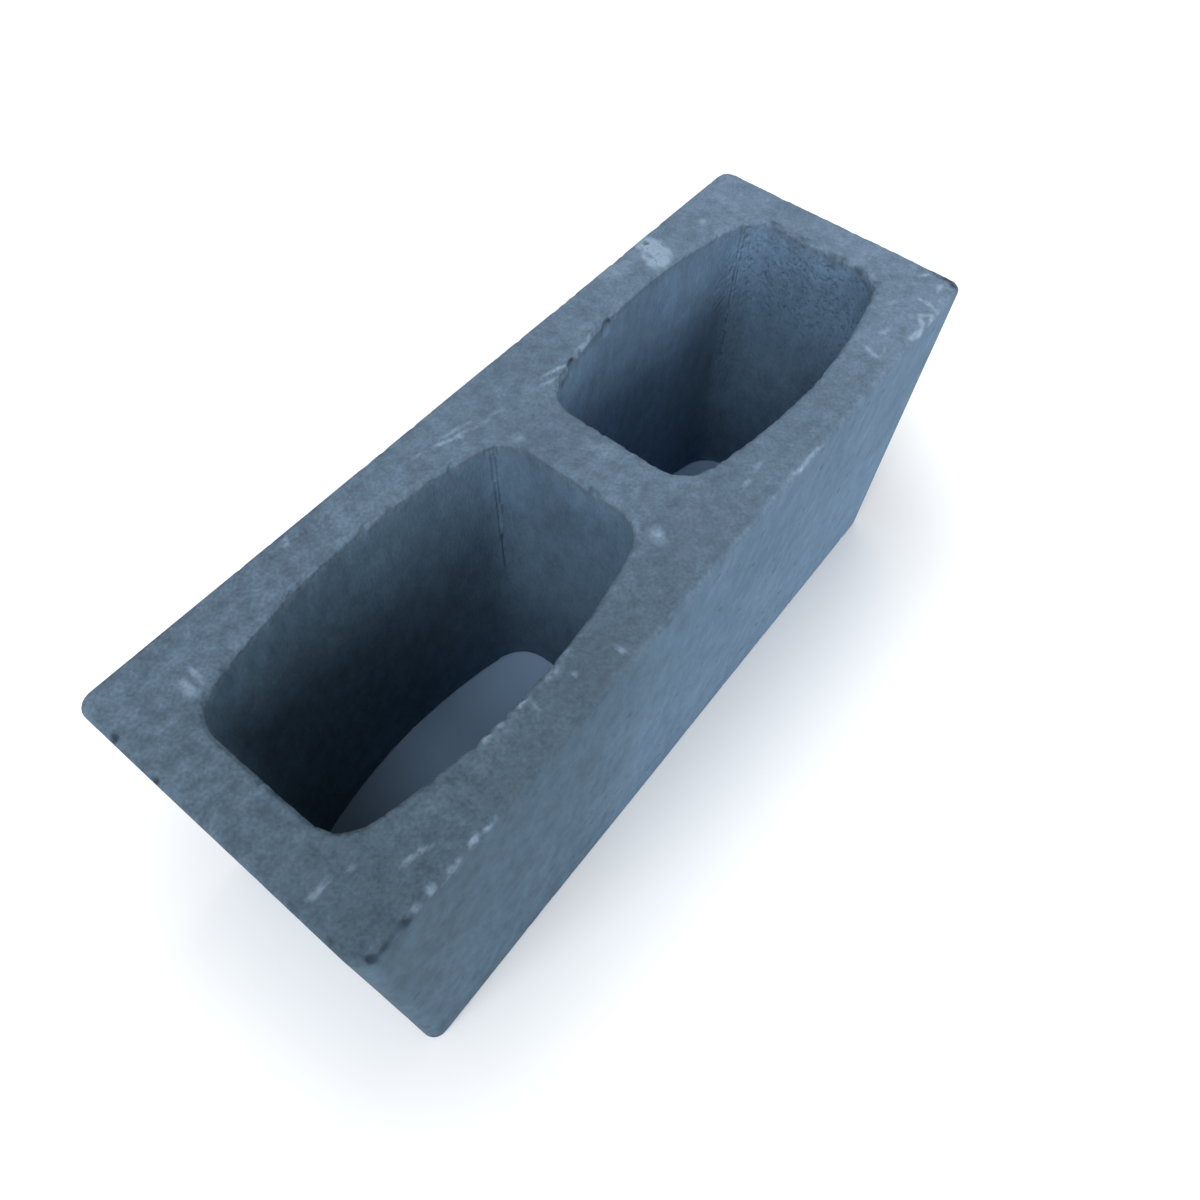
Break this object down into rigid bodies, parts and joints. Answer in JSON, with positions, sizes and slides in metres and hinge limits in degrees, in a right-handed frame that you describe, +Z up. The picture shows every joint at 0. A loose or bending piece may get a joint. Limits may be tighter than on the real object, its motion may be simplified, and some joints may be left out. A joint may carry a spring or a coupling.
{
  "type": "hollow concrete block",
  "caption": "Hollow machine-made concrete masonry block with plain ends, rounded upright corners and tapered barrel-shaped through-cores for laying in mortar.",
  "frame": {"origin": "centre of the underside, the bottom bed face", "axes": "+X along the length, +Y across the width, +Z up through the cores"},
  "size_m": [0.4, 0.14, 0.19],
  "materials": {
    "concrete": "vibrated semi-dry concrete, sandy open texture, scuffed and chipped at the edges"
  },
  "bodies": {
    "root": {"concrete_block": "concrete"}
  },
  "joints": []
}
